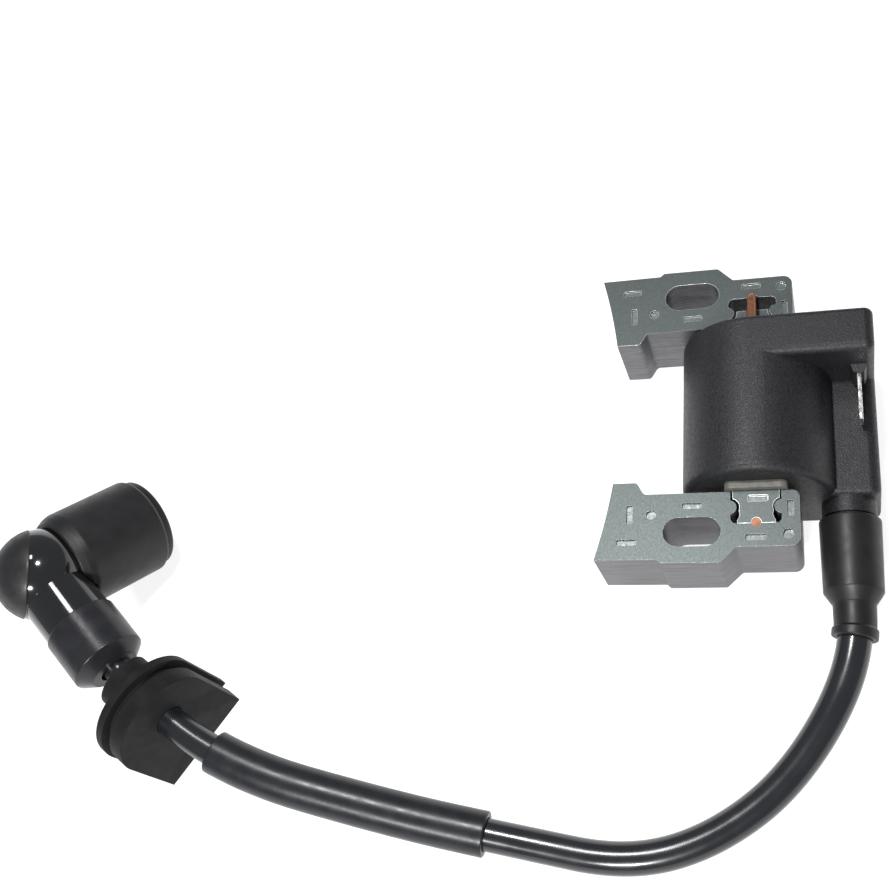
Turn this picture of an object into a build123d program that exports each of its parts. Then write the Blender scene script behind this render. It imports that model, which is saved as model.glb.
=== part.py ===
"""Small-engine ignition coil: split laminated core, potted coil housing, HT lead and spark plug cap.

Millimetres. X runs along the coil's axis from one bolt to the other, towards the HT tower. Y points away
from the flywheel, Z out of the core's front face. The origin is midway between the two bolt slots, on
the core's back face. The coil lies on its housing's flat back.
"""
from build123d import *
import os
from math import cos, pi, radians, sin, sqrt, tan

os.makedirs("parts", exist_ok=True)

# ---- core ------------------------------------------------------------------------------------------
STACK = 17.0                # thickness of the lamination stack
SLOT_X = 28.5               # bolt slot centre, each side of the middle
SLOT_W, SLOT_L = 6.5, 12.0
POLE_R = 124.0              # circle that the pole faces lie on, about the flywheel's axis
POLE_CENTRE_Y = -139.7
POLE_IN_X, POLE_OUT_X = 17.0, 34.4
ARM_IN_X, ARM_OUT_X, ARM_FOOT_X = 19.8, 32.0, 35.3
ARM_TOP_Y = 22.0
POCKET_LOW_Y, POCKET_TOP_Y, POCKET_FLOOR_X = 8.0, 18.4, 26.95
LUG_X, LUG_R = 23.3, 1.55
BAR_Y, BAR_W = 13.25, 9.6
BAR_END_HIGH_X = -23.7      # the bar stops short of this arm's pocket floor
PIN_R, PIN_X = 1.0, 26.7
WIRE_R = 1.05
DIMPLE_DEPTH = 0.6

# ---- housing -----------------------------------------------------------------------------------------
WALL = 2.0
CYL_Y, CYL_Z, CYL_R = 13.2, 8.5, 16.0
MOUTH_X, FOOT_X = -18.4, 18.0
FLOOR_Z = CYL_Z - CYL_R     # the flat back, which is also what the coil lies on
SIDE_Y = 38.3
BAND_X = -8.5               # the full section ends here, and the recess begins
RECESS_Z = 9.5
POT_X = -17.2
TOWER_Y, TOWER_Z = 31.7, 3.0
TOWER_R, TOWER_TIP_R, TOWER_STEP_X, TOWER_END_X = 5.7, 5.25, 21.4, 37.0
TOWER_BORE_X = 27.4
TAB_Y, TAB_T, TAB_W, TAB_Z = 35.0, 0.8, 4.8, 13.6
TAB_ROOT_X, TAB_TIP_X = -16.2, 3.5

# ---- coils -------------------------------------------------------------------------------------------
BORE_W, BORE_H = 10.1, 17.2
SNOUT_W, SNOUT_H, SNOUT_X = 12.9, 20.0, 19.6
PRIMARY_W, PRIMARY_H = 14.9, 22.0
SPOOL_W, SPOOL_H = 16.9, 24.0
RIB_W, RIB_H, RIB_ROUND = 20.5, 26.6, 9.0
SECONDARY_W, SECONDARY_H = 19.5, 25.6
SNOUT_ROUND, PRIMARY_ROUND, SPOOL_HOLE_ROUND, SPOOL_ROUND, SECONDARY_ROUND = 1.5, 4.3, 4.5, 6.5, 8.5
SPOOL_X0, SPOOL_X1, RIB_T, SECTIONS = -13.3, 14.3, 1.0, 4

# ---- lead and what is on it --------------------------------------------------------------------------
LEAD_R, CORE_R = 3.5, 0.9
FIT = 0.05                  # running clearance of what turns or slides on the lead
BOOT_START_X, BOOT_SHOULDER_X, BOOT_NECK_X, BOOT_LIP_X, BOOT_END_X = 22.0, 37.8, 40.5, 45.5, 47.5
SLEEVE_R, SLEEVE_BORE_R = 4.9, 3.7
PLATE_W, PLATE_T, PLATE_SHIFT = 25.2, 8.0, -1.2
PLATE_AZIMUTH = 56.2        # the way the grommet's plate faces, towards the sleeve
NECK_R, NECK_L = 6.6, 7.6
PLATE_FACE_TO_BEND = 16.5
BEND_TANGENT = 3.0          # length of lead taken by each half of its small bend at the cap
GROMMET_TANGENT = 12.0
CAP_CENTRE = Vector(36.6, -155.4, 20.5)
LEAD_END = 9.0              # from the elbow's centre to the lead's end
BALL_R = 11.2
END_PLUG_R, END_PLUG_SEAM = 11.4, 3.5
BARREL_R, BARREL_STUB_R, BARREL_STUB_L = 8.4, 6.5, 27.0
SEAL_R, SEAL_X0, SEAL_X1, SEAL_TIP_R = 8.9, 17.0, 31.6, 5.8
PLUG_STUB_R, PLUG_STUB_L = 8.7, 22.5
CHAMBER_R, CHAMBER_L, TERMINAL_BORE_R = 3.0, 12.0, 5.8
BOOT_AZIMUTH, BOOT_TILT = 146.0, 37.5    # the way the plug boot points, tilted down
BOOT_R, BOOT_SHOULDER_R, BOOT_NEAR = 12.35, 11.0, 5.0
BOOT_LIP_R, BOOT_LIP_L = 11.4, 2.0
INSULATOR_R, INSULATOR_L = 5.4, 5.0

# Route of the lead's centre line: out of the tower, down to the bench, round, and up into the cap.
ROUTE_START = [
    (27.8, 31.7, 3.0),
    (53.2, 31.7, 3.0),
    (75.0, 18.6, -2.4),
    (88.0, 2.0, -4.0),
    (93.4, -15.6, -4.0),
    (90.2, -38.0, -3.6),
    (86.2, -66.4, 0.9),
    (78.5, -104.7, 10.3),
]
ROUTE_BEND = (60.2, -131.6, 14.8)


def prism_x(outline, x0, x1):
    """Extrude an outline drawn in (Y, Z) from x0 to x1."""
    return extrude(Plane.YZ.offset(x0) * outline, amount=x1 - x0)


def prism_z(outline, z0, z1):
    return extrude(Pos(0, 0, z0) * outline, amount=z1 - z0)


def rod_x(y, z, radius, x0, x1):
    return prism_x(Pos(y, z) * Circle(radius), x0, x1)


def box(x0, x1, y0, y1, z0, z1):
    middle = Pos((x0 + x1) / 2, (y0 + y1) / 2, (z0 + z1) / 2)
    return middle * Box(x1 - x0, y1 - y0, z1 - z0)


def turned(profile):
    """Revolve (radius, height) points about local Z."""
    return revolve(Plane.XZ * make_face(Polyline(*profile, close=True)), Axis.Z)


def edges_at(solid, axis, spots, reach=0.4):
    """Straight edges along an axis whose middles lie near the given spots on the other two axes."""
    found = []
    for edge in solid.edges().filter_by(axis):
        c = edge.center()
        pair = {Axis.Z: (c.X, c.Y), Axis.X: (c.Y, c.Z), Axis.Y: (c.X, c.Z)}[axis]
        if any(abs(pair[0] - a) < reach and abs(pair[1] - b) < reach for a, b in spots):
            found.append(edge)
    return found


def node(name, solid):
    export_step(solid if isinstance(solid, Compound) else Compound(children=[solid]), f"parts/{name}.step")


# ---- laminated core ----------------------------------------------------------------------------------
def pole_y(x):
    return POLE_CENTRE_Y + sqrt(POLE_R**2 - x**2)


def dimples(spots):
    """Interlock dimples punched into the front face: (x, y, length along X, length along Y)."""
    cut = []
    for x, y, along_x, along_y in spots:
        shape = Circle(along_x / 2) if along_x == along_y else RectangleRounded(along_x, along_y, 0.3)
        cut.append(prism_z(Pos(x, y) * shape, STACK - DIMPLE_DEPTH, STACK + 1))
    return cut


def arm():
    """The +X arm: pole shoe, bolt slot and the pocket that holds the centre bar."""
    inner_foot = (POLE_IN_X, pole_y(POLE_IN_X))
    outer_foot = (POLE_OUT_X, pole_y(POLE_OUT_X))
    middle_x = (POLE_IN_X + POLE_OUT_X) / 2
    outline = [
        outer_foot, (34.5, -7.3), (ARM_FOOT_X, -6.4), (ARM_FOOT_X, 5.8), (ARM_OUT_X, 9.1),
        (ARM_OUT_X, ARM_TOP_Y), (ARM_IN_X, ARM_TOP_Y), (ARM_IN_X, POCKET_TOP_Y),
        (POCKET_FLOOR_X, POCKET_TOP_Y), (POCKET_FLOOR_X, POCKET_LOW_Y), (ARM_IN_X, POCKET_LOW_Y),
        (ARM_IN_X, -10.1), (POLE_IN_X, -11.7), inner_foot,
    ]
    pole_face = ThreePointArc(inner_foot, (middle_x, pole_y(middle_x)), outer_foot)
    solid = prism_z(make_face([Polyline(*outline), pole_face]), 0, STACK)
    for radius, spots in (
        (2.0, [(ARM_OUT_X, ARM_TOP_Y)]),
        (1.5, [(ARM_IN_X, ARM_TOP_Y)]),
        (1.2, [(POCKET_FLOOR_X, POCKET_TOP_Y), (POCKET_FLOOR_X, POCKET_LOW_Y)]),
        (1.0, [(ARM_IN_X, -10.1), (POLE_IN_X, -11.7), (ARM_OUT_X, 9.1), (ARM_FOOT_X, 5.8)]),
    ):
        solid = fillet(edges_at(solid, Axis.Z, spots), radius)
    for wall_y in (POCKET_LOW_Y - 0.3, POCKET_TOP_Y + 0.1):
        solid += prism_z(Pos(LUG_X, wall_y) * Circle(LUG_R), 0, STACK)
    solid -= prism_z(Pos(SLOT_X, 0) * SlotOverall(SLOT_L, SLOT_W, rotation=90), -1, STACK + 1)
    for cut in dimples([
        (24.3, -13.1, 4.1, 1.3), (23.8, 20.15, 3.5, 1.3), (24.5, -8.5, 2.1, 2.1), (29.4, 19.55, 2.1, 2.1),
        (22.7, 0.1, 1.3, 4.1), (30.6, -13.65, 1.3, 4.1), (30.0, 13.05, 1.3, 4.1),
    ]):
        solid -= cut
    return solid


def arms():
    plus = arm()
    minus = mirror(plus, Plane.YZ)
    plus -= prism_z(Pos(PIN_X, BAR_Y) * Circle(PIN_R), -1, STACK + 1)
    minus -= prism_z(Pos(-POCKET_FLOOR_X + 0.1, BAR_Y) * Circle(WIRE_R + 0.1), -1, STACK + 1)
    return plus, minus


def centre_bar():
    """The bar through the coil, waisted at each end where the arms' lugs close on it."""
    solid = box(BAR_END_HIGH_X, POCKET_FLOOR_X, BAR_Y - BAR_W / 2, BAR_Y + BAR_W / 2, 0, STACK)
    notch_r = LUG_R + 0.4
    for side in (-1, 1):
        for wall_y in (POCKET_LOW_Y - 0.1, POCKET_TOP_Y + 0.2):
            for x in (LUG_X, 24.9):
                solid -= prism_z(Pos(side * x, wall_y) * Circle(notch_r), -1, STACK + 1)
            low = min(wall_y, wall_y + 1.45 * (1 if wall_y < BAR_Y else -1))
            high = max(wall_y, wall_y + 1.45 * (1 if wall_y < BAR_Y else -1))
            solid -= box(*sorted((side * 24.6, side * 29.0)), low, high, -1, STACK + 1)
    solid -= prism_z(Pos(PIN_X, BAR_Y) * Circle(PIN_R), -1, STACK + 1)
    for cut in dimples([(-21.4, 13.65, 1.3, 4.0), (21.4, 13.65, 1.3, 4.0)]):
        solid -= cut
    return solid


def ground_wire():
    """From the potting, over the bar's end and down into the half hole in the arm."""
    x_hole = -POCKET_FLOOR_X + 0.1
    path = FilletPolyline(
        (-14.4, BAR_Y, 21.0), (-19.4, BAR_Y, 20.3), (x_hole, BAR_Y, 18.6), (x_hole, BAR_Y, 5.0),
        radius=2.4,
    )
    return sweep(Plane(origin=path @ 0, z_dir=path % 0) * Circle(WIRE_R), path)


# ---- housing -----------------------------------------------------------------------------------------
def rounded(width, height, radius):
    """A rounded rectangle about the coil's axis, drawn in (Y, Z)."""
    return Pos(BAR_Y, CYL_Z) * RectangleRounded(width, height, radius)


def d_section(inset):
    """The housing's full section: a half round towards the flywheel and a square back half."""
    r = CYL_R - inset
    side = SIDE_Y - inset
    square = Pos((CYL_Y + side) / 2, CYL_Z) * Rectangle(side - CYL_Y, 2 * r)
    return square + Pos(CYL_Y, CYL_Z) * Circle(r)


def block_section(inset):
    side = SIDE_Y - inset
    low, high = FLOOR_Z + inset, RECESS_Z - inset
    return Pos((CYL_Y + side) / 2, (low + high) / 2) * Rectangle(side - CYL_Y, high - low)


def cavity():
    """Everything inside the walls, open at the mouth."""
    space = prism_x(d_section(WALL), MOUTH_X - 1, BAND_X - WALL)
    space += rod_x(CYL_Y, CYL_Z, CYL_R - WALL, MOUTH_X - 1, FOOT_X - WALL)
    space += prism_x(block_section(WALL), BAND_X - WALL - 1, FOOT_X - WALL)
    return space


def housing_shell():
    shell = prism_x(d_section(0), MOUTH_X, BAND_X)
    shell = fillet(edges_at(shell, Axis.X, [(SIDE_Y, CYL_Z + CYL_R), (SIDE_Y, FLOOR_Z)]), 2.0)
    shell = fillet([e for e in shell.edges() if abs(e.center().X - BAND_X) < 0.01], 1.8)
    shell = fillet([e for e in shell.edges() if abs(e.center().X - MOUTH_X) < 0.01], 1.3)
    block = prism_x(block_section(0), BAND_X - 1, FOOT_X)
    block = fillet(edges_at(block, Axis.X, [(SIDE_Y, RECESS_Z)]), 2.5)
    block = fillet(edges_at(block, Axis.X, [(SIDE_Y, FLOOR_Z)]), 2.0)
    drum = rod_x(CYL_Y, CYL_Z, CYL_R, MOUTH_X + 2, FOOT_X)
    body = drum + block
    foot = [e for e in body.edges() if abs(e.center().X - FOOT_X) < 0.01]
    body = fillet(foot, 1.8)
    shell += body
    shell -= cavity()
    shell -= prism_x(rounded(SNOUT_W, SNOUT_H, SNOUT_ROUND), FOOT_X - WALL - 1, FOOT_X + 1)
    collar = Pos(BAND_X, TAB_Y, TAB_Z) * Rot(0, 90, 0) * loft([
        Rectangle(TAB_W + 2.6, TAB_T + 2.6), Pos(0, 0, 1.7) * Rectangle(TAB_W + 1.4, TAB_T + 1.4)])
    shell += collar
    tower = rod_x(TOWER_Y, TOWER_Z, TOWER_R, FOOT_X - 0.5, TOWER_STEP_X)
    tower += rod_x(TOWER_Y, TOWER_Z, TOWER_TIP_R, FOOT_X - WALL, TOWER_END_X)
    tower -= rod_x(TOWER_Y, TOWER_Z, LEAD_R + FIT, TOWER_BORE_X, TOWER_END_X + 1)
    shell += tower
    shell -= rod_x(TOWER_Y, TOWER_Z, 1.2, 0, TOWER_BORE_X + 1)
    shell -= tab_blank()
    return shell


def tab_blank():
    return box(TAB_ROOT_X, TAB_TIP_X, TAB_Y - TAB_T / 2, TAB_Y + TAB_T / 2, TAB_Z - TAB_W / 2,
               TAB_Z + TAB_W / 2)


def kill_terminal():
    """The flat tab for the stop switch's push-on connector, with a latch hole and a bevelled tip."""
    tab = tab_blank()
    tip = [e for e in tab.edges().filter_by(Axis.Y) if e.center().X > TAB_TIP_X - 0.1]
    tab = chamfer(tip, 0.9)
    latch = Pos(TAB_TIP_X - 3.2, TAB_Y, TAB_Z) * Rot(90, 0, 0) * Cylinder(0.8, 4)
    return tab - latch


# ---- coils and electronics ---------------------------------------------------------------------------
def ring(width, height, radius, in_width, in_height, in_radius, x0, x1):
    return prism_x(rounded(width, height, radius) - rounded(in_width, in_height, in_radius), x0, x1)


def primary_bobbin():
    solid = ring(SNOUT_W, SNOUT_H, SNOUT_ROUND, BORE_W, BORE_H, 0.3, POT_X, SNOUT_X)
    for x in (-15.4, 14.6):
        solid += ring(PRIMARY_W + 0.2, PRIMARY_H + 0.2, PRIMARY_ROUND, BORE_W, BORE_H, 0.3, x, x + 1.0)
    return solid


def primary_winding():
    return ring(PRIMARY_W, PRIMARY_H, PRIMARY_ROUND, SNOUT_W, SNOUT_H, SNOUT_ROUND, -14.4, 14.6)


def rib_places():
    pitch = (SPOOL_X1 - SPOOL_X0 - RIB_T) / SECTIONS
    return [SPOOL_X0 + i * pitch for i in range(SECTIONS + 1)]


def secondary_bobbin():
    hole = (PRIMARY_W + 0.4, PRIMARY_H + 0.4, SPOOL_HOLE_ROUND)
    solid = ring(SPOOL_W, SPOOL_H, SPOOL_ROUND, *hole, SPOOL_X0, SPOOL_X1)
    for x in rib_places():
        solid += ring(RIB_W, RIB_H, RIB_ROUND, *hole, x, x + RIB_T)
    return solid


def secondary_winding():
    """One solid for each section of the spool."""
    places = rib_places()
    return Compound(children=[
        ring(SECONDARY_W, SECONDARY_H, SECONDARY_ROUND, SPOOL_W, SPOOL_H, SPOOL_ROUND, a + RIB_T, b)
        for a, b in zip(places, places[1:])
    ])


BOARD_X0, BOARD_X1 = -14.4, -13.2


def igniter_board():
    board = box(BOARD_X0, BOARD_X1, 25.2, 35.9, -4.6, 21.6)
    return board - tab_blank()


def power_transistor():
    body = box(-10.2, -0.6, 26.2, 33.8, -2.4, 2.2)
    legs = [box(BOARD_X1, -10.2, y - 0.4, y + 0.4, -0.3, 0.2) for y in (27.6, 30.0, 32.4)]
    return body + legs[0] + legs[1] + legs[2]


def trigger_resistors():
    return Compound(children=[box(BOARD_X1, -12.2, 27.0, 31.0, z, z + 2.2) for z in (6.4, 17.2)])


def ht_output_pin():
    pin = rod_x(TOWER_Y, TOWER_Z, 1.2, 11.0, ROUTE_START[0][0])
    pin += rod_x(TOWER_Y, TOWER_Z, 2.6, 9.6, 11.0)
    return pin + rod_x(TOWER_Y, TOWER_Z, 0.5, ROUTE_START[0][0] - 1, ROUTE_START[0][0] + 3.5)


def ht_link_wire():
    """From the secondary's last section to the output pin's head."""
    path = Line((11.2, 22.5, 4.5), (10.3, 29.2, 3.4))
    return sweep(Plane(origin=path @ 0, z_dir=path % 0) * Circle(0.4), path)


# ---- lead --------------------------------------------------------------------------------------------
def unit(vector):
    return vector / vector.length


BARREL_AXIS = unit(Vector(*ROUTE_BEND) - CAP_CENTRE)            # from the elbow towards the lead
GROMMET_AXIS = unit(Vector(*ROUTE_START[-1]) - Vector(*ROUTE_BEND))
PLATE_CENTRE = Vector(*ROUTE_BEND) + GROMMET_AXIS * PLATE_FACE_TO_BEND
ROUTE = [Vector(*p) for p in ROUTE_START] + [Vector(*ROUTE_BEND), CAP_CENTRE + BARREL_AXIS * LEAD_END]


def corner_radii(points):
    """The largest arc that the two runs at each corner leave room for."""
    radii = []
    for a, b, c in zip(points, points[1:], points[2:]):
        half_turn = radians((b - a).get_angle(c - b)) / 2
        reach = 0.45 * min((b - a).length, (c - b).length)
        if b == ROUTE[-2]:
            reach = BEND_TANGENT        # the lead is straight in the grommet and in the cap
        if b == ROUTE[-3]:
            reach = GROMMET_TANGENT
        radii.append(reach / tan(half_turn))
    return radii


RADII = corner_radii(ROUTE)
LEAD_PATH = FilletPolyline(*ROUTE, radius=RADII)


def along_lead(section, path):
    return sweep(Plane(origin=path @ 0, z_dir=path % 0) * section, path)


def output_spike():
    return rod_x(TOWER_Y, TOWER_Z, 0.5, ROUTE_START[0][0] - 1, ROUTE_START[0][0] + 3.5)


def cut_between(solid, path, start, end):
    """Keep the stretch of a tube between two lengths along its path."""
    for length, keep in ((start, Keep.TOP), (end, Keep.BOTTOM)):
        place = length / path.length
        solid = split(solid, Plane(origin=path @ place, z_dir=path % place), keep=keep)
    return solid


def length_to_y(y):
    """How far along the lead its centre line passes a given Y."""
    low, high = 0.0, 1.0
    for _ in range(40):
        middle = (low + high) / 2
        if (LEAD_PATH @ middle).Y > y:
            low = middle
        else:
            high = middle
    return low * LEAD_PATH.length


def protective_sleeve():
    tube = along_lead(Circle(SLEEVE_R) - Circle(SLEEVE_BORE_R), LEAD_PATH)
    return cut_between(tube, LEAD_PATH, length_to_y(-45.0), length_to_y(-106.3))


def tower_boot():
    """Rubber boot over the tower: a wide part on the tower, a shoulder, and a neck with a lip."""
    base = Plane(origin=(0, TOWER_Y, TOWER_Z), x_dir=(0, 1, 0), z_dir=(1, 0, 0))
    profile = [
        (TOWER_R - 0.01, BOOT_START_X), (6.45, BOOT_START_X), (6.15, BOOT_SHOULDER_X),
        (4.35, BOOT_NECK_X), (4.35, BOOT_LIP_X), (4.7, BOOT_LIP_X + 0.3), (4.7, BOOT_END_X),
        (LEAD_R, BOOT_END_X), (LEAD_R, TOWER_END_X), (TOWER_TIP_R, TOWER_END_X),
        (TOWER_TIP_R, BOOT_START_X + 0.6),
    ]
    return base * turned(profile)


# ---- grommet -----------------------------------------------------------------------------------------
def shroud_grommet():
    """A tombstone-shaped plate with a groove for the shroud's edge, and a neck towards the cap."""
    facing = Vector(cos(radians(PLATE_AZIMUTH)), sin(radians(PLATE_AZIMUTH)), 0)
    side = Vector(-sin(radians(PLATE_AZIMUTH)), cos(radians(PLATE_AZIMUTH)), 0)
    plane = Plane(origin=PLATE_CENTRE, x_dir=side, z_dir=facing)
    drop = PLATE_CENTRE.Z - FLOOR_Z

    def slab(inset, z0, z1):
        half = PLATE_W / 2 - inset
        height = drop - max(inset, 0)
        outline = Pos(PLATE_SHIFT, -height / 2) * Rectangle(2 * half, height) + Pos(PLATE_SHIFT, 0) * Circle(half)
        return extrude(plane.offset(z0) * outline, amount=z1 - z0)

    plate = slab(0, -4.2, 0) + slab(1.6, -6.0, -4.2) + slab(-0.8, -PLATE_T, -6.0)
    bore_plane = Plane(origin=PLATE_CENTRE, z_dir=GROMMET_AXIS)
    neck = bore_plane * Pos(0, 0, -PLATE_T - NECK_L) * Cylinder(
        NECK_R, PLATE_T + NECK_L - 2, align=(Align.CENTER, Align.CENTER, Align.MIN))
    bore = bore_plane * Pos(0, 0, -20) * Cylinder(
        LEAD_R + FIT, 30, align=(Align.CENTER, Align.CENTER, Align.MIN))
    # The bore opens up at the neck's end, where the lead begins to bend.
    relief = bore_plane * Pos(0, 0, -20) * Cylinder(
        LEAD_R + 0.4, 20 - PLATE_T - NECK_L + 4, align=(Align.CENTER, Align.CENTER, Align.MIN))
    return plate + neck - bore - relief


# ---- plug cap ----------------------------------------------------------------------------------------
def heading(azimuth, tilt):
    """Unit direction from a plan angle and a downward tilt, in degrees."""
    return Vector(cos(radians(azimuth)) * cos(radians(tilt)), sin(radians(azimuth)) * cos(radians(tilt)),
                  -sin(radians(tilt)))


BOOT_AXIS = heading(BOOT_AZIMUTH, BOOT_TILT)                    # from the elbow towards the plug
END_AXIS = unit(BARREL_AXIS * 0.65 + BOOT_AXIS) * -1            # out of the elbow's outer corner
# The boot is as long as lets its open lip rest on the bench.
BOOT_FAR = (CAP_CENTRE.Z - FLOOR_Z - BOOT_LIP_R * sqrt(1 - BOOT_AXIS.Z**2)) / -BOOT_AXIS.Z


def down(profile):
    """Turned about the boot's axis, with depths measured from the elbow's centre towards the plug."""
    return Plane(origin=CAP_CENTRE, z_dir=BOOT_AXIS) * turned(profile)


def along_barrel(profile):
    """Turned about the barrel's axis, with distances measured from the elbow's centre to the lead."""
    return Plane(origin=CAP_CENTRE, z_dir=BARREL_AXIS) * turned(profile)


def end_block(size):
    """A block that starts at the end plug's seam and reaches outwards."""
    seam = Plane(origin=CAP_CENTRE + END_AXIS * END_PLUG_SEAM, z_dir=END_AXIS)
    return seam * Box(size, size, size, align=(Align.CENTER, Align.CENTER, Align.MIN))


def end_plug():
    """Domed plug that closes the elbow's outer corner, with a spigot inside."""
    seam = Plane(origin=CAP_CENTRE + END_AXIS * END_PLUG_SEAM, z_dir=END_AXIS)
    dome = Pos(*CAP_CENTRE) * Sphere(END_PLUG_R) & end_block(40)
    return dome + seam * Cylinder(6.0, 1.1, align=(Align.CENTER, Align.CENTER, Align.MAX))


def cap_elbow():
    solid = Pos(*CAP_CENTRE) * Sphere(BALL_R) - end_block(40)
    solid += along_barrel([
        (0, 0), (BARREL_R, 0), (BARREL_R, SEAL_X0), (BARREL_STUB_R, SEAL_X0),
        (BARREL_STUB_R, BARREL_STUB_L), (0, BARREL_STUB_L)]) - end_block(40)
    solid += down([(0, 0), (PLUG_STUB_R, 0), (PLUG_STUB_R, PLUG_STUB_L), (0, PLUG_STUB_L)]) - end_block(40)
    solid -= along_barrel([
        (0, LEAD_END - 0.3), (LEAD_R + 0.15, LEAD_END - 0.3), (LEAD_R + 0.15, BARREL_STUB_L + 1),
        (0, BARREL_STUB_L + 1)])
    solid -= along_barrel([(0, -1.0), (1.2, -1.0), (1.2, LEAD_END), (0, LEAD_END)])
    solid -= down([
        (0, 1.5), (CHAMBER_R, 1.5), (CHAMBER_R, CHAMBER_L), (TERMINAL_BORE_R, CHAMBER_L),
        (TERMINAL_BORE_R, PLUG_STUB_L + 1), (0, PLUG_STUB_L + 1)])
    return solid - end_plug()


def lead_seal():
    return along_barrel([
        (BARREL_STUB_R, SEAL_X0), (SEAL_R, SEAL_X0), (SEAL_R, SEAL_X1 - 2.6), (SEAL_TIP_R, SEAL_X1),
        (LEAD_R + FIT, SEAL_X1), (LEAD_R + FIT, BARREL_STUB_L), (BARREL_STUB_R, BARREL_STUB_L)])


def plug_boot():
    """Rubber boot over the plug, seated on the elbow's ball and saddled over its barrel."""
    seal_top = BOOT_FAR - 2.4 - INSULATOR_L
    rim = BOOT_FAR - BOOT_LIP_L
    solid = down([
        (PLUG_STUB_R, BOOT_NEAR + 2.3), (10.15, BOOT_NEAR), (BOOT_SHOULDER_R, BOOT_NEAR),
        (BOOT_R - 0.4, BOOT_NEAR + 1.8), (BOOT_R, BOOT_NEAR + 3.2), (BOOT_R, rim - 0.8),
        (BOOT_R - 0.8, rim), (BOOT_LIP_R, rim), (BOOT_LIP_R, BOOT_FAR), (INSULATOR_R + 3.0, BOOT_FAR),
        (INSULATOR_R, BOOT_FAR - 2.4), (INSULATOR_R, seal_top), (PLUG_STUB_R, seal_top)])
    saddle = BARREL_R + 0.1
    return solid - along_barrel([(0, 0), (saddle, 0), (saddle, SEAL_X0), (0, SEAL_X0)])


def contact_pin():
    """Brass pin: its point enters the lead's core, its other end meets the spring."""
    return along_barrel([
        (0, -1.0), (1.1, -1.0), (1.1, LEAD_END - 0.3), (0.45, LEAD_END), (0.45, LEAD_END + 5),
        (0, LEAD_END + 6)])


def contact_spring():
    helix = Helix(pitch=0.9, height=1.8, radius=2.2)
    wire = sweep(Plane(origin=helix @ 0, z_dir=helix % 0) * Circle(0.3), helix, is_frenet=True)
    return Plane(origin=CAP_CENTRE + BOOT_AXIS * 1.9, z_dir=BOOT_AXIS) * wire


def suppressor_resistor():
    return down([(0, 4.1), (2.6, 4.1), (2.6, CHAMBER_L - 1.0), (0, CHAMBER_L - 1.0)])


def plug_clip():
    """Brass cup that snaps on the plug's terminal nut, split into fingers."""
    top = CHAMBER_L
    cup = down([
        (0, top - 1.0), (2.6, top - 1.0), (2.6, top), (5.6, top), (5.6, top + 1.0), (4.4, top + 1.0),
        (4.1, top + 8.0), (3.4, top + 8.0), (3.4, top + 1.0), (0, top + 1.0)])
    for turn in (0, 90):
        place = Plane(origin=CAP_CENTRE + BOOT_AXIS * (top + 5.7), z_dir=BOOT_AXIS)
        cup -= place * Rot(0, 0, turn) * Box(12, 0.9, 6)
    return cup


# ---- build -------------------------------------------------------------------------------------------
def main():
    plus_arm, minus_arm = arms()
    shell = housing_shell()
    windings = secondary_winding()
    inside = {
        "primary_bobbin": primary_bobbin(),
        "primary_winding": primary_winding(),
        "secondary_bobbin": secondary_bobbin(),
        "igniter_board": igniter_board(),
        "power_transistor": power_transistor(),
        "trigger_resistors": trigger_resistors(),
        "kill_terminal": kill_terminal(),
        "ht_output_pin": ht_output_pin(),
        "ht_link_wire": ht_link_wire() - windings - ht_output_pin(),
        "ground_wire": ground_wire(),
    }
    potting = cavity() & box(POT_X, FOOT_X, -5, 40, -10, 30)
    potting -= prism_x(rounded(SNOUT_W, SNOUT_H, SNOUT_ROUND), POT_X - 1, FOOT_X + 1)
    for solid in list(inside.values()) + [windings]:
        potting -= solid
    node("upper_arm_laminations", minus_arm)
    node("lower_arm_laminations", plus_arm)
    node("centre_bar_laminations", centre_bar())
    node("core_pin", prism_z(Pos(PIN_X, BAR_Y) * Circle(PIN_R), 0, STACK))
    node("housing_shell", shell)
    node("potting_compound", potting)
    node("secondary_winding", windings)
    for name, solid in inside.items():
        node(name, solid)
    node("tower_boot", tower_boot())
    core = along_lead(Circle(CORE_R), LEAD_PATH)
    pin_point = along_barrel([(0, 0), (CORE_R - 0.4 + FIT, 0), (CORE_R - 0.4 + FIT, LEAD_END + 6.2),
                              (0, LEAD_END + 6.2)])
    jacket = along_lead(Circle(LEAD_R), LEAD_PATH) - core
    node("ht_lead", jacket)
    node("lead_conductor", core - output_spike() - pin_point)
    node("protective_sleeve", protective_sleeve())
    node("shroud_grommet", shroud_grommet())
    node("cap_elbow", cap_elbow())
    node("end_plug", end_plug())
    node("lead_seal", lead_seal())
    node("plug_boot", plug_boot())
    node("contact_pin", contact_pin())
    node("contact_spring", contact_spring())
    node("suppressor_resistor", suppressor_resistor())
    node("plug_clip", plug_clip())
    print("lead length", round(LEAD_PATH.length, 1), "radii", [round(r, 1) for r in RADII])
    print("lead volume / (section x length)", round(jacket.volume / (
        (LEAD_R**2 - CORE_R**2) * pi * LEAD_PATH.length), 4))
    print("barrel axis", BARREL_AXIS, "boot axis", BOOT_AXIS, "boot far", round(BOOT_FAR, 2))
    print("grommet axis", GROMMET_AXIS, "plate centre", PLATE_CENTRE)


main()
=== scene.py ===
"""Looks of a small-engine ignition coil with its lead and plug cap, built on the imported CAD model.

Metres in the row frame, except that the turned profiles are written in millimetres.
"""
import bmesh
import bpy
from bisect import bisect_right
from math import asin, atan2, cos, pi, radians, sin, tan
from mathutils import Matrix, Vector


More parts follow.
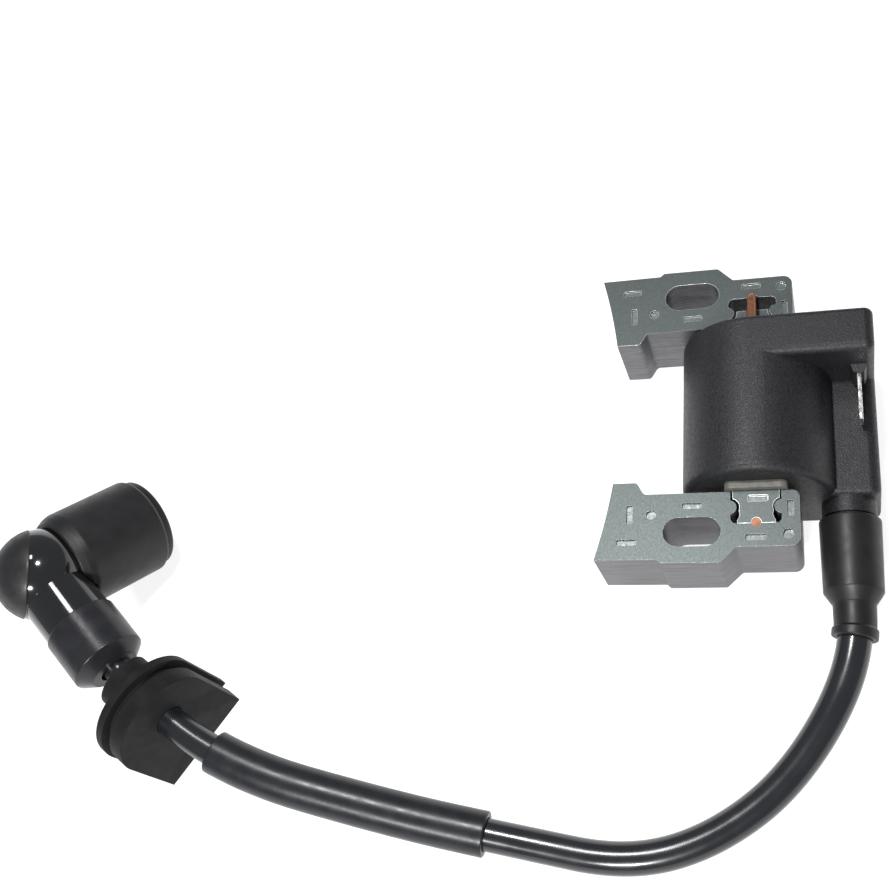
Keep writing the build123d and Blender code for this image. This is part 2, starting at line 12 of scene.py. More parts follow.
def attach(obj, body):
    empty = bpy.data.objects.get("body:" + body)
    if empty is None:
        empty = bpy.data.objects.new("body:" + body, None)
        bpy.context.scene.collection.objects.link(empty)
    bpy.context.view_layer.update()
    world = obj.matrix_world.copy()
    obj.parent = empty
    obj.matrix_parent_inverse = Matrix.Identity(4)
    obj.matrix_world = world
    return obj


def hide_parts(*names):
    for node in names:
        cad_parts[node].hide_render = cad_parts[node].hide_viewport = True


MM = 0.001
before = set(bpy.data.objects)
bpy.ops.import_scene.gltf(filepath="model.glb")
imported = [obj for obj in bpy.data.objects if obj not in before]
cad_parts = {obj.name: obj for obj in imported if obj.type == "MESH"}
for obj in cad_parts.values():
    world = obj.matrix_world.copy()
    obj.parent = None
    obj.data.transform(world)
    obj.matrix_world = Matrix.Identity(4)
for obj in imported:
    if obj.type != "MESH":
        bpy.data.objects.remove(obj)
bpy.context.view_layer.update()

FLOOR_Z = -0.0075
FRONT_Z = 0.017

# ---- sizes shared with the CAD -------------------------------------------------------------------------
SHEET = 0.0005
DIMPLE_DEPTH = 0.0006
LEAD_R = 3.5
ROUTE_START_X = 27.8
SLEEVE_FROM_Y, SLEEVE_TO_Y = -0.045, -0.1063
SLEEVE_R, SLEEVE_BORE_R = 4.9, 3.62
CAP_CENTRE = Vector((0.0366, -0.1554, 0.0205))
ROUTE_BEND = Vector((0.0602, -0.1316, 0.0148))
BARREL_AXIS = (ROUTE_BEND - CAP_CENTRE).normalized()
BOOT_AZIMUTH, BOOT_TILT = radians(146.0), radians(37.5)
BOOT_AXIS = Vector((
    cos(BOOT_AZIMUTH) * cos(BOOT_TILT), sin(BOOT_AZIMUTH) * cos(BOOT_TILT), -sin(BOOT_TILT)))
END_AXIS = -(BARREL_AXIS * 0.65 + BOOT_AXIS).normalized()

# Plug cap: radii, and distances along the barrel or the boot from the cap's centre, in mm.
BALL_R = 11.2
BARREL_R, BARREL_END = 8.4, 17.0
SPIGOT_R, SPIGOT_END = 6.5, 27.0
LEAD_HOLE_R, LEAD_HOLE_START = 3.6, 8.7
NECK_R, NECK_END = 8.7, 22.5
CHAMBER_R, CHAMBER_START = 5.8, 12.0
SEAL_R, SEAL_END, SEAL_TIP_R, SEAL_BORE_R = 8.9, 31.6, 5.8, 3.55
PLUG_R, PLUG_SEAM = 11.4, 3.5
BOOT_NEAR, BOOT_FAR = 5.0, 31.14
BOOT_SHOULDER_R, BOOT_R, BOOT_LIP_R = 11.0, 12.35, 11.4
BOOT_BORE_R, BOOT_BORE_END, BOOT_BORE_START = 5.4, BOOT_FAR - 2.4, BOOT_FAR - 7.4

# Route of the lead: straight out of the tower, down to the bench, round, and up into the cap.
ROUTE = [
    Vector((0.0278, 0.0317, 0.0030)),
    Vector((0.0330, 0.0317, 0.0030)),
    Vector((0.0532, 0.0317, 0.0030)),
    Vector((0.0750, 0.0186, -0.0024)),
    Vector((0.0880, 0.0020, -0.0040)),
    Vector((0.0934, -0.0156, -0.0040)),
    Vector((0.0902, -0.0380, -0.0036)),
    Vector((0.0862, -0.0664, 0.0009)),
    Vector((0.0785, -0.1047, 0.0103)),
    ROUTE_BEND,
    CAP_CENTRE + BARREL_AXIS * 0.009,
]


# ---- camera and lights ---------------------------------------------------------------------------------
def add_camera():
    camera = bpy.data.objects.new("camera", bpy.data.cameras.new("camera"))
    camera.data.lens = 49.6
    camera.data.clip_start = 0.01
    right = Vector((-0.0846, 0.9506, -0.2988))
    up = Vector((-0.9108, 0.0479, 0.4101))
    back = Vector((0.4041, 0.3068, 0.8617))
    turn = Matrix((right, up, back)).transposed().to_4x4()
    camera.matrix_world = Matrix.Translation((0.1198, 0.0304, 0.2607)) @ turn
    bpy.context.collection.objects.link(camera)
    bpy.context.scene.camera = camera


def softbox(name, place, target, size, power):
    light = bpy.data.objects.new(name, bpy.data.lights.new(name, "AREA"))
    light.data.shape = "RECTANGLE"
    light.data.size, light.data.size_y = size
    light.data.energy = power
    light.location = place
    light.rotation_euler = (Vector(target) - Vector(place)).to_track_quat("-Z", "Y").to_euler()
    bpy.context.collection.objects.link(light)


def add_lights():
    """A soft room with a window, a small bright lamp close above the bench and a strip at the front."""
    world = bpy.data.worlds.new("studio")
    world.use_nodes = True
    world.node_tree.nodes["Background"].inputs["Color"].default_value = (0.91, 0.95, 1.0, 1)
    world.node_tree.nodes["Background"].inputs["Strength"].default_value = 0.34
    bpy.context.scene.world = world
    middle = (0.05, -0.06, 0.0)
    softbox("lamp", (-0.015, -0.045, 0.29), middle, (0.024, 0.024), 0.60)
    softbox("window", (-0.27, -0.16, 0.75), middle, (0.13, 0.13), 1.15)
    softbox("front_strip", (0.77, -0.09, 0.62), middle, (0.14, 0.05), 8.0)
    bpy.context.scene.view_settings.view_transform = "Standard"


def add_floor():
    mesh = bpy.data.meshes.new("floor")
    half = 3.0
    corners = [(x * half, y * half, FLOOR_Z) for x, y in ((-1, -1), (1, -1), (1, 1), (-1, 1))]
    mesh.from_pydata(corners, [], [(0, 1, 2, 3)])
    floor = bpy.data.objects.new("floor", mesh)
    bpy.context.collection.objects.link(floor)
    floor.data.materials.append(paper())


# ---- materials -----------------------------------------------------------------------------------------
def look(name, colour, roughness, metallic=0.0, **sockets):
    """A Principled material with the constants that are the same all over."""
    material = bpy.data.materials.new(name)
    material.use_nodes = True
    shader = material.node_tree.nodes["Principled BSDF"]
    shader.inputs["Base Color"].default_value = (*colour, 1)
    shader.inputs["Roughness"].default_value = roughness
    shader.inputs["Metallic"].default_value = metallic
    for socket, value in sockets.items():
        shader.inputs[socket.replace("_", " ")].default_value = value
    return material


def link(material, source, node, socket):
    material.node_tree.links.new(source, node.inputs[socket])


def add_node(material, kind, **inputs):
    node = material.node_tree.nodes.new(kind)
    for socket, value in inputs.items():
        node.inputs[socket.replace("_", " ")].default_value = value
    return node


def add_step(material, operation, source, value):
    """One step of arithmetic on a varying value, with a number or another varying value."""
    node = add_node(material, "ShaderNodeMath")
    node.operation = operation
    link(material, source, node, 0)
    if isinstance(value, float):
        node.inputs[1].default_value = value
    else:
        link(material, value, node, 1)
    return node.outputs[0]


def noise(material, size, detail=2.0, stretch=None):
    """Noise in the row frame whose features have about the given size in metres."""
    place = add_node(material, "ShaderNodeTexCoord").outputs["Object"]
    if stretch:
        mapping = add_node(material, "ShaderNodeMapping", Scale=stretch)
        link(material, place, mapping, "Vector")
        place = mapping.outputs["Vector"]
    texture = add_node(material, "ShaderNodeTexNoise", Scale=1 / size, Detail=detail)
    link(material, place, texture, "Vector")
    return texture.outputs["Fac"]


def between(material, factor, low, high, start=0.35, end=0.65):
    """A factor that goes from low to high as the source goes from start to end."""
    node = add_node(material, "ShaderNodeMapRange", To_Min=low, To_Max=high, From_Min=start, From_Max=end)
    link(material, factor, node, "Value")
    return node.outputs["Result"]


def vary_colour(material, factor, low, high):
    mix = material.node_tree.nodes.new("ShaderNodeMix")
    mix.data_type = "RGBA"
    mix.inputs[6].default_value = (*low, 1)
    mix.inputs[7].default_value = (*high, 1)
    link(material, factor, mix, 0)
    link(material, mix.outputs[2], material.node_tree.nodes["Principled BSDF"], "Base Color")


def vary_roughness(material, factor, low, high):
    value = between(material, factor, low, high)
    link(material, value, material.node_tree.nodes["Principled BSDF"], "Roughness")


def bump(material, height, distance, strength=1.0):
    """Adds relief of the given height in metres on top of what the material has."""
    shader = material.node_tree.nodes["Principled BSDF"]
    node = add_node(material, "ShaderNodeBump", Distance=distance, Strength=strength)
    link(material, height, node, "Height")
    if shader.inputs["Normal"].links:
        link(material, shader.inputs["Normal"].links[0].from_socket, node, "Normal")
    link(material, node.outputs["Normal"], shader, "Normal")


def paper():
    """A white sheet lit from below, so that the shadows on it stay faint."""
    material = look("floor_paper", (0.35, 0.35, 0.35), 0.9, Specular_IOR_Level=0.1)
    shader = material.node_tree.nodes["Principled BSDF"]
    shader.inputs["Emission Color"].default_value = (1.0, 1.0, 1.0, 1)
    shader.inputs["Emission Strength"].default_value = 0.86
    vary_colour(material, noise(material, 0.2), (0.34, 0.34, 0.34), (0.36, 0.36, 0.36))
    return material


def steel_face():
    """Rolled and stamped sheet: pale, slightly green, with a fine speckle."""
    material = look("steel_face", (0.25, 0.28, 0.27), 0.42, 0.8)
    speckle = between(material, noise(material, 0.0003, 3.0), 0.0, 1.0, 0.25, 0.75)
    vary_colour(material, speckle, (0.060, 0.070, 0.068), (0.096, 0.111, 0.108))
    vary_roughness(material, noise(material, 0.0005), 0.45, 0.50)
    bump(material, noise(material, 0.0004, 3.0), 0.00001, 0.5)
    return material


def steel_side():
    """The sheets' cut edges: half-millimetre lines across a burnished, slightly mauve grey."""
    material = look("steel_side", (0.25, 0.24, 0.25), 0.42, 0.8)
    place = add_node(material, "ShaderNodeTexCoord").outputs["Object"]
    split = add_node(material, "ShaderNodeSeparateXYZ")
    link(material, place, split, "Vector")
    sheets = add_step(material, "MULTIPLY", split.outputs["Z"], 1 / SHEET)
    from_gap = add_step(material, "PINGPONG", sheets, 0.5)
    line = between(material, from_gap, 0.0, 1.0, 0.05, 0.32)
    streak = noise(material, 0.002, 3.0, (0.25, 0.25, 9.0))
    tone = add_step(material, "MULTIPLY", line, between(material, streak, 0.35, 1.0))
    vary_colour(material, tone, (0.028, 0.028, 0.031), (0.33, 0.33, 0.345))
    vary_roughness(material, streak, 0.34, 0.55)
    bump(material, line, 0.00006, 0.7)
    return material


def steel_rim_painted_highlight():
    """The rolled-over edge of the outer sheets, coloured near-white as a painted highlight along the edge.
    """
    material = look("steel_rim_painted_highlight", (0.85, 0.88, 0.87), 0.34, 0.25)
    vary_roughness(material, noise(material, 0.0006), 0.22, 0.4)
    return material


def punched_floor():
    """The bottom of a dimple that locks the sheets together, burnished by the punch."""
    material = look("punched_floor", (0.12, 0.13, 0.13), 0.38, 0.7)
    vary_roughness(material, noise(material, 0.0007), 0.34, 0.46)
    bump(material, noise(material, 0.0012), 0.00012, 0.6)
    return material


# Painted shade: the steep walls of the pressed dimples are coloured near-black to stand for the shade
# inside each dimple.
def dimple_wall_painted_shade():
    material = look("dimple_wall_painted_shade", (0.03, 0.032, 0.034), 0.5, 0.4)
    vary_roughness(material, noise(material, 0.0005), 0.4, 0.6)
    bump(material, noise(material, 0.0004), 0.00003, 0.5)
    return material


def moulded_black():
    """Glass-filled plastic with an eroded mould texture."""
    material = look("housing_plastic", (0.014, 0.014, 0.016), 0.5, Specular_IOR_Level=0.4)
    grain = noise(material, 0.00034, 4.0)
    vary_colour(material, between(material, grain, 0.0, 1.0), (0.003, 0.003, 0.004), (0.016, 0.016, 0.018))
    vary_roughness(material, noise(material, 0.0009, 3.0), 0.42, 0.54)
    bump(material, grain, 0.00011, 0.8)
    bump(material, noise(material, 0.006), 0.0001, 0.25)
    return material


def soft_rubber(name, colour, roughness, grain_height):
    material = look(name, colour, roughness, Specular_IOR_Level=0.34, Sheen_Weight=0.03)
    fine = noise(material, 0.0012, 1.0)
    lighter = tuple(c * 1.45 for c in colour)
    vary_colour(material, between(material, noise(material, 0.004, 1.0), 0.0, 1.0), colour, lighter)
    vary_roughness(material, noise(material, 0.003, 1.0), roughness - 0.03, roughness + 0.04)
    bump(material, fine, grain_height, 0.6)
    return material


def lead_jacket():
    material = look("lead_jacket", (0.009, 0.010, 0.012), 0.16, Coat_Weight=0.2, Coat_Roughness=0.1)
    vary_roughness(material, noise(material, 0.006, 3.0), 0.2, 0.28)
    bump(material, noise(material, 0.0045, 2.0), 0.00005, 0.35)
    return material


def glossy_phenolic():
    material = look("phenolic", (0.006, 0.006, 0.007), 0.11, Coat_Weight=0.5, Coat_Roughness=0.05)
    vary_roughness(material, noise(material, 0.005, 3.0), 0.08, 0.16)
    bump(material, noise(material, 0.006), 0.00007, 0.3)
    return material


def satin_phenolic():
    material = look("phenolic_satin", (0.012, 0.012, 0.0125), 0.38, Specular_IOR_Level=0.4)
    vary_roughness(material, noise(material, 0.002, 3.0), 0.36, 0.5)
    bump(material, noise(material, 0.0007, 3.0), 0.00003, 0.5)
    return material


def metal(name, colour, roughness, grain=0.0008):
    material = look(name, colour, roughness, 1.0)
    dark = tuple(c * 0.72 for c in colour)
    vary_colour(material, between(material, noise(material, grain, 3.0), 0.0, 1.0), dark, colour)
    vary_roughness(material, noise(material, grain * 2, 3.0), roughness - 0.08, roughness + 0.1)
    bump(material, noise(material, grain, 3.0), 0.00002, 0.4)
    return material


def dull(name, colour, roughness, grain=0.0008, height=0.00003):
    """A moulded, fired or laminated body with a little mottling."""
    material = look(name, colour, roughness)
    dark = tuple(c * 0.7 for c in colour)
    mottle = between(material, noise(material, grain * 2, 3.0), 0.0, 1.0)
    vary_colour(material, mottle, dark, colour)
    vary_roughness(material, noise(material, grain * 3, 3.0), roughness - 0.06, roughness + 0.08)
    bump(material, noise(material, grain, 3.0), height, 0.5)
    return material


def cast_epoxy():
    """Potting resin: glossy, with the slow waves of a poured surface."""
    material = look("epoxy", (0.012, 0.011, 0.010), 0.16, Coat_Weight=0.4, Coat_Roughness=0.08)
    vary_roughness(material, noise(material, 0.003, 3.0), 0.12, 0.24)
    bump(material, noise(material, 0.007, 2.0), 0.0005, 0.5)
    return material


def wound_copper(name, colour):
    """Enamelled turns, 0.3 mm apart along the coil."""
    material = metal(name, colour, 0.3)
    place = add_node(material, "ShaderNodeTexCoord").outputs["Object"]
    turns = material.node_tree.nodes.new("ShaderNodeTexWave")
    turns.bands_direction = "X"
    turns.inputs["Scale"].default_value = 1 / (0.0003 * 20) * 6.28
    link(material, place, turns, "Vector")
    bump(material, turns.outputs["Fac"], 0.0001, 0.8)
    return material


# ---- mesh helpers --------------------------------------------------------------------------------------
def as_object(name, mesh):
    piece = bpy.data.objects.new(name, mesh)
    bpy.context.collection.objects.link(piece)
    return piece


def settle(piece):
    """Turn the piece's modifiers into its mesh."""
    bpy.context.view_layer.update()
    ready = piece.evaluated_get(bpy.context.evaluated_depsgraph_get())
    mesh = bpy.data.meshes.new_from_object(ready)
    piece.modifiers.clear()
    piece.data = mesh


def even_normals(piece):
    """Smooth shading that keeps the large faces flat right up to their rounded edges."""
    for polygon in piece.data.polygons:
        polygon.use_smooth = True
    weighted = piece.modifiers.new("weighted", "WEIGHTED_NORMAL")
    weighted.keep_sharp = True
    weighted.weight = 80


def belongs(piece, body, slot, *nodes):
    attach(piece, body)
    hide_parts(*nodes)


def rounded_copy(node, width, segments=3, sharp=32.0):
    """A copy of a CAD node with merged corners and every sharp edge rounded."""
    piece = as_object(node + "_skin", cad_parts[node].data.copy())
    piece.data.materials.clear()
    shape = bmesh.new()
    shape.from_mesh(piece.data)
    bmesh.ops.remove_doubles(shape, verts=shape.verts, dist=0.000002)
    bmesh.ops.dissolve_limit(shape, angle_limit=radians(0.8), verts=shape.verts, edges=shape.edges)
    for edge in shape.edges:
        edge.smooth = True
    shape.to_mesh(piece.data)
    shape.free()
    bevel = piece.modifiers.new("bevel", "BEVEL")
    bevel.width = width
    bevel.segments = segments
    bevel.limit_method = "ANGLE"
    bevel.angle_limit = radians(sharp)
    bevel.harden_normals = False
    even_normals(piece)
    settle(piece)
    return piece


class Rail:
    """A line of points, read by distance from its start. It runs straight on past both ends."""

    def __init__(self, points):
        self.points = points
        self.lengths = [0.0]
        for a, b in zip(points, points[1:]):
            self.lengths.append(self.lengths[-1] + (b - a).length)

    def point(self, distance):
        i = min(max(bisect_right(self.lengths, distance) - 1, 0), len(self.points) - 2)
        run = (self.points[i + 1] - self.points[i]).normalized()
        return self.points[i] + run * (distance - self.lengths[i])

    def heading(self, distance):
        return (self.point(distance + 0.0005) - self.point(distance - 0.0005)).normalized()

    def distance_to_y(self, y):
        for point, length in zip(self.points, self.lengths):
            if point.y <= y:
                return length
        return self.lengths[-1]


def straight(start, axis):
    return Rail([start, start + axis * 0.1])


def rounded_profile(profile, closed, step):
    """Corners given as (distance, radius, rounding) in mm, rounded by arcs and cut into short runs."""
    corners = [(Vector((x, r)), rounding) for x, r, rounding in profile]
    count = len(corners)
    points = []
    for i, (corner, rounding) in enumerate(corners):
        ends = not closed and i in (0, count - 1)
        if ends or rounding == 0:
            points.append(corner)
            continue
        before, after = corners[i - 1][0], corners[(i + 1) % count][0]
        to_before, to_after = (before - corner).normalized(), (after - corner).normalized()
        half = to_before.angle(to_after) / 2
        room = 0.48 * min((before - corner).length, (after - corner).length)
        reach = min(rounding / tan(half), room)
        radius = reach * tan(half)
        middle = corner + (to_before + to_after).normalized() * (radius / sin(half))
        start, end = corner + to_before * reach, corner + to_after * reach
        first = atan2(*(start - middle).yx)
        sweep = (atan2(*(end - middle).yx) - first + pi) % (2 * pi) - pi
        for k in range(7):
            angle = first + sweep * k / 6
            points.append(middle + Vector((cos(angle), sin(angle))) * radius)
    if closed:
        points.append(points[0])
    fine = [points[0]]
    for a, b in zip(points, points[1:]):
        parts = max(1, int(abs(b.x - a.x) / step))
        fine += [a.lerp(b, k / parts) for k in range(1, parts + 1)]
    return fine[:-1] if closed else fine


def turned_mesh(name, rail, profile, closed=True, sides=96, step=1000.0):
    """A profile turned about a rail, as a mesh. The profile is in mm along and from the rail."""
    shape = bmesh.new()
    rings = []
    for x, r in rounded_profile(profile, closed, step):
        centre, along = rail.point(x * MM), rail.heading(x * MM)
        side = along.cross(Vector((0, 0, 1))).normalized()
        high = side.cross(along)
        if r < 0.001:
            rings.append([shape.verts.new(centre)])
            continue
        angles = [2 * pi * k / sides for k in range(sides)]
        rings.append([
            shape.verts.new(centre + (side * cos(angle) + high * sin(angle)) * r * MM) for angle in angles])
    pairs = list(zip(rings, rings[1:]))
    if closed:
        pairs.append((rings[-1], rings[0]))
    for a, b in pairs:
        for k in range(sides):
            j = (k + 1) % sides
            if len(a) == 1 and len(b) > 1:
                shape.faces.new((a[0], b[j], b[k]))
            elif len(b) == 1 and len(a) > 1:
                shape.faces.new((a[k], a[j], b[0]))
            elif len(a) > 1:
                shape.faces.new((a[k], a[j], b[j], b[k]))
    bmesh.ops.recalc_face_normals(shape, faces=shape.faces)
    mesh = bpy.data.meshes.new(name)
    shape.to_mesh(mesh)
    shape.free()
    return mesh


def turned_piece(name, rail, profile, **options):
    piece = as_object(name, turned_mesh(name, rail, profile, **options))
    even_normals(piece)
    settle(piece)
    return piece


# ---- the lead and what is on it --------------------------------------------------------------------------
def lead_curve():
    curve = bpy.data.curves.new("lead_jacket_tube", "CURVE")
    curve.dimensions = "3D"
    curve.resolution_u = 24
    spline = curve.splines.new("NURBS")
    spline.points.add(len(ROUTE) - 1)
    for point, place in zip(spline.points, ROUTE):
        point.co = (*place, 1.0)
    spline.order_u = 3
    spline.use_endpoint_u = True
    piece = as_object("lead_jacket_tube", curve)
    return piece


def centre_line(piece):
    """The lead's own line, from its spline without thickness."""
    bpy.context.view_layer.update()
    ready = piece.evaluated_get(bpy.context.evaluated_depsgraph_get())
    mesh = bpy.data.meshes.new_from_object(ready)
    points = [v.co.copy() for v in mesh.vertices]
    bpy.data.meshes.remove(mesh)
    return Rail(points)


def add_lead():
    piece = lead_curve()
    rail = centre_line(piece)
    piece.data.bevel_depth = LEAD_R * MM
    piece.data.bevel_resolution = 10
    piece.data.use_fill_caps = True
    piece.data.materials.append(lead_jacket())
    belongs(piece, "coil", "lead_jacket", "ht_lead")
    return piece, rail


def add_sleeve(rail):
    start = rail.distance_to_y(SLEEVE_FROM_Y) / MM
    end = rail.distance_to_y(SLEEVE_TO_Y) / MM
    profile = [
        (start, SLEEVE_R, 0.35), (end, SLEEVE_R, 0.35),
        (end, SLEEVE_BORE_R, 0.25), (start, SLEEVE_BORE_R, 0.25)]
    piece = turned_piece("sleeve_tube", rail, profile, step=0.8, sides=72)
    piece.data.materials.append(soft_rubber("sleeve_rubber", (0.008, 0.009, 0.011), 0.32, 0.00002))
    belongs(piece, "coil", "sleeve_rubber", "protective_sleeve")
    return piece


def add_tower_boot(rail, rubber):
    """The boot's neck follows the lead where the lead starts to bend. The profile is written along X."""
    profile = [
        (22.0, 5.69, 0.2), (22.0, 6.45, 0.5), (37.8, 6.15, 0.7), (40.5, 4.4, 0.8), (45.3, 4.3, 0.4),
        (45.7, 4.7, 0.3), (47.5, 4.7, 0.35), (47.5, 3.52, 0.1), (37.0, 3.5, 0.1), (37.0, 5.25, 0.1),
        (22.6, 5.25, 0.1)]
    piece = turned_piece(
        "tower_boot_skin", rail, [(x - ROUTE_START_X, r, rounding) for x, r, rounding in profile], step=0.8)
    piece.data.materials.append(rubber)
    belongs(piece, "coil", "boot_rubber", "tower_boot")
    return piece


def add_grommet():
    piece = rounded_copy("shroud_grommet", 0.0009, 4)
    matt = soft_rubber("grommet_rubber", (0.008, 0.008, 0.0085), 0.6, 0.00003)
    matt.node_tree.nodes["Principled BSDF"].inputs["Specular IOR Level"].default_value = 0.1
    piece.data.materials.append(matt)
    belongs(piece, "grommet", "boot_rubber", "shroud_grommet")
    return piece


def cut(piece, other, operation):
    """Join or cut the piece with another mesh, which is then removed."""
    step = piece.modifiers.new("cut", "BOOLEAN")
    step.operation = operation
    step.solver = "EXACT"
    step.object = other
    settle(piece)
    bpy.data.objects.remove(other)


def add_elbow():
    """A glossy ball with a short barrel for the lead and a neck that goes into the boot."""
    from_back = straight(CAP_CENTRE, END_AXIS)
    ball = []
    for k in range(41):
        angle = pi * k / 40
        ball.append((-BALL_R * cos(angle), BALL_R * sin(angle), 0))
    piece = as_object("elbow_skin", turned_mesh("elbow_skin", from_back, ball, closed=False))
    barrel = straight(CAP_CENTRE, BARREL_AXIS)
    piece_barrel = as_object("barrel", turned_mesh("barrel", barrel, [
        (0.0, 0.0, 0), (0.0, BARREL_R, 0), (BARREL_END, BARREL_R, 0),
        (BARREL_END, SPIGOT_R, 0), (SPIGOT_END, SPIGOT_R, 0), (SPIGOT_END, 0.0, 0)], closed=False))
    cut(piece, piece_barrel, "UNION")
    neck = straight(CAP_CENTRE, BOOT_AXIS)
    piece_neck = as_object("neck", turned_mesh("neck", neck, [
        (0.0, 0.0, 0), (0.0, NECK_R, 0), (NECK_END, NECK_R, 0),
        (NECK_END, CHAMBER_R, 0), (CHAMBER_START, CHAMBER_R, 0), (CHAMBER_START, 0.0, 0)], closed=False))
    cut(piece, piece_neck, "UNION")
    bore = as_object("bore", turned_mesh("bore", barrel, [
        (LEAD_HOLE_START, 0.0, 0), (LEAD_HOLE_START, LEAD_HOLE_R, 0),
        (SPIGOT_END + 1.0, LEAD_HOLE_R, 0), (SPIGOT_END + 1.0, 0.0, 0)], closed=False, sides=48))
    cut(piece, bore, "DIFFERENCE")
    soften(piece, 0.0009, 5)
    piece.data.materials.clear()
    piece.data.materials.append(glossy_phenolic())
    belongs(piece, "plug_cap", "phenolic", "cap_elbow")
    return piece


def soften(piece, width, segments):
    """Round the piece's sharp edges and creases."""
    shape = bmesh.new()
    shape.from_mesh(piece.data)
    bmesh.ops.remove_doubles(shape, verts=shape.verts, dist=0.00002)
    shape.to_mesh(piece.data)
    shape.free()
    bevel = piece.modifiers.new("bevel", "BEVEL")
    bevel.width = width
    bevel.segments = segments
    bevel.limit_method = "ANGLE"
    bevel.angle_limit = radians(25)
    even_normals(piece)
    settle(piece)


def add_end_plug():
    """The domed plug over the elbow's outer corner."""
    spigot_r, spigot_end, face_r = 6.0, PLUG_SEAM - 1.1, 10.6
    rail = straight(CAP_CENTRE, END_AXIS)
    lowest = asin(PLUG_SEAM / PLUG_R) + 0.03
    dome = [
        (spigot_end, 0.0, 0), (spigot_end, spigot_r, 0), (PLUG_SEAM, spigot_r, 0), (PLUG_SEAM, face_r, 0)]
    for k in range(29):
        angle = lowest + (pi / 2 - lowest) * k / 28
        dome.append((PLUG_R * sin(angle), PLUG_R * cos(angle), 0))
    piece = turned_piece("end_plug_skin", rail, dome, closed=False)
    piece.data.materials.append(satin_phenolic())
    belongs(piece, "plug_cap", "phenolic_satin", "end_plug")
    return piece


def add_seal():
    satin = soft_rubber("seal_rubber", (0.010, 0.010, 0.012), 0.29, 0.00003)
    piece = turned_piece("lead_seal_skin", straight(CAP_CENTRE, BARREL_AXIS), [
        (BARREL_END, SPIGOT_R, 0.1), (BARREL_END, SEAL_R, 0.4), (29.0, SEAL_R, 0.5),
        (SEAL_END, SEAL_TIP_R, 0.4), (SEAL_END, SEAL_BORE_R, 0.1),
        (SPIGOT_END, SEAL_BORE_R, 0.1), (SPIGOT_END, SPIGOT_R, 0.1)])
    piece.data.materials.append(satin)
    belongs(piece, "plug_cap", "boot_rubber", "lead_seal")
    return piece


def add_plug_boot(rubber):
    """The boot over the plug, with a turned-in lip, saddled over the barrel."""
    rim = BOOT_FAR - 2.0
    saddle_r = 8.5
    profile = [
        (7.3, NECK_R, 0.1), (BOOT_NEAR, 10.15, 0.1), (BOOT_NEAR, BOOT_SHOULDER_R, 0.4),
        (6.8, 11.95, 1.6), (8.2, BOOT_R, 2.5), (rim - 0.8, BOOT_R, 0.8), (rim, 11.55, 0.6),
        (rim, BOOT_LIP_R, 0.05), (BOOT_FAR, BOOT_LIP_R, 0.8), (BOOT_FAR, 8.4, 0.8),
        (BOOT_BORE_END, BOOT_BORE_R, 0.5), (BOOT_BORE_START, BOOT_BORE_R, 0.3),
        (BOOT_BORE_START, NECK_R, 0.1)]
    piece = as_object("plug_boot_skin", turned_mesh(
        "plug_boot_skin", straight(CAP_CENTRE, BOOT_AXIS), profile, sides=128))
    saddle = as_object("saddle", turned_mesh("saddle", straight(CAP_CENTRE, BARREL_AXIS), [
        (0.0, 0.0, 0), (0.0, saddle_r, 0), (BARREL_END, saddle_r, 0), (BARREL_END, 0.0, 0)], closed=False))
    cut(piece, saddle, "DIFFERENCE")
    even_normals(piece)
    settle(piece)
    piece.data.materials.clear()
    piece.data.materials.append(rubber)
    belongs(piece, "plug_cap", "boot_rubber", "plug_boot")
    return piece


# ---- the coil ------------------------------------------------------------------------------------------
def add_laminations(node, looks):
    """A lamination stack. Faces, cut edges, rims and the insides of dimples have their own looks; the rims
    carry a painted highlight and the dimple walls carry painted shade.
    """
    face, side, rim, dimple_floor, dimple_wall = range(5)
    piece = rounded_copy(node, 0.00034, 2)
    for item in looks:
        piece.data.materials.append(item)
    for polygon in piece.data.polygons:
        tilt, depth = abs(polygon.normal.z), FRONT_Z - polygon.center.z
        if tilt > 0.99:
            in_dimple = DIMPLE_DEPTH * 0.5 < depth < DIMPLE_DEPTH * 1.5
            polygon.material_index = dimple_floor if in_dimple else face
        elif tilt > 0.15:
            # Rounded rims get the near-white painted edge highlight.
            polygon.material_index = rim
        else:
            # Steep faces at the front are dimple walls, coloured near-black as painted shade; the rest are
            # cut edges.
            polygon.material_index = dimple_wall if depth < DIMPLE_DEPTH else side
    belongs(piece, "coil", "lamination_steel", node)


def add_housing():
    piece = rounded_copy("housing_shell", 0.0005, 3)
    piece.data.materials.append(moulded_black())
    belongs(piece, "coil", "housing_plastic", "housing_shell")


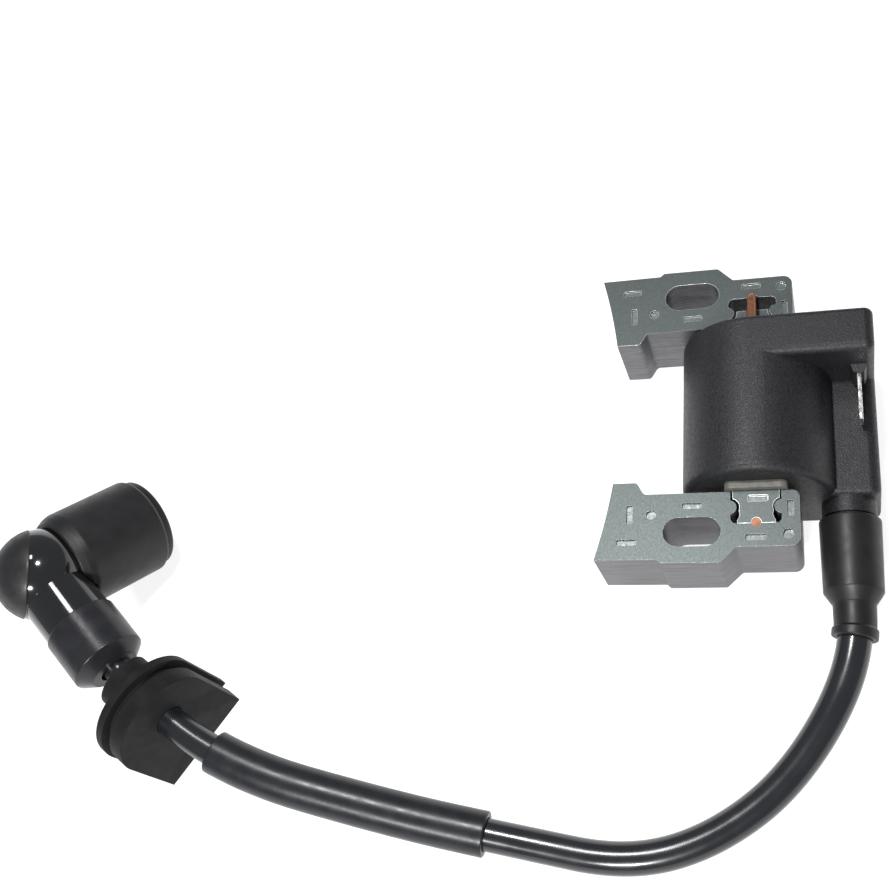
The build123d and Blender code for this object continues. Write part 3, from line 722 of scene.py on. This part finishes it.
def add_terminal():
    piece = rounded_copy("kill_terminal", 0.00012, 2)
    piece.data.materials.append(metal("tinned_brass", (0.78, 0.78, 0.76), 0.26))
    belongs(piece, "coil", "tinned_brass", "kill_terminal")


def paint(node, material):
    """Give a CAD node a better material."""
    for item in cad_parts[node].material_slots:
        item.material = material


def paint_the_rest():
    copper = metal("copper_wire", (0.50, 0.22, 0.13), 0.38)
    brass = metal("brass", (0.72, 0.56, 0.30), 0.3)
    windings = wound_copper("winding_copper", (0.55, 0.22, 0.10))
    nylon = dull("bobbin_nylon", (0.15, 0.145, 0.125), 0.5)
    for node in ("ground_wire", "ht_link_wire"):
        paint(node, copper)
    paint("core_pin", metal("pin_copper", (0.27, 0.13, 0.085), 0.5))
    for node in ("primary_winding", "secondary_winding"):
        paint(node, windings)
    for node in ("primary_bobbin", "secondary_bobbin"):
        paint(node, nylon)
    for node in ("ht_output_pin", "contact_pin", "plug_clip"):
        paint(node, brass)
    paint("potting_compound", cast_epoxy())
    paint("igniter_board", dull("circuit_board", (0.35, 0.30, 0.14), 0.45))
    paint("power_transistor", dull("moulded_epoxy", (0.025, 0.025, 0.027), 0.45))
    paint("trigger_resistors", dull("chip_ceramic", (0.12, 0.12, 0.13), 0.4))
    paint("lead_conductor", metal("tinned_strands", (0.72, 0.70, 0.66), 0.3))
    paint("contact_spring", metal("spring_steel", (0.60, 0.60, 0.60), 0.25))
    paint("suppressor_resistor", dull("resistor_ceramic", (0.62, 0.58, 0.50), 0.55))


# ---- making --------------------------------------------------------------------------------------------
add_camera()
lead, rail = add_lead()
rubber = soft_rubber("boot_rubber", (0.0065, 0.0065, 0.007), 0.44, 0.00004)
pieces = [
    add_sleeve(rail), add_grommet(), add_elbow(), add_end_plug(), add_seal(), add_plug_boot(rubber)]
add_tower_boot(rail, rubber)
steel = (steel_face(), steel_side(), steel_rim_painted_highlight(), punched_floor(), dimple_wall_painted_shade())
for stack in ("upper_arm_laminations", "lower_arm_laminations", "centre_bar_laminations"):
    add_laminations(stack, steel)
add_housing()
add_terminal()
paint_the_rest()
add_lights()
add_floor()
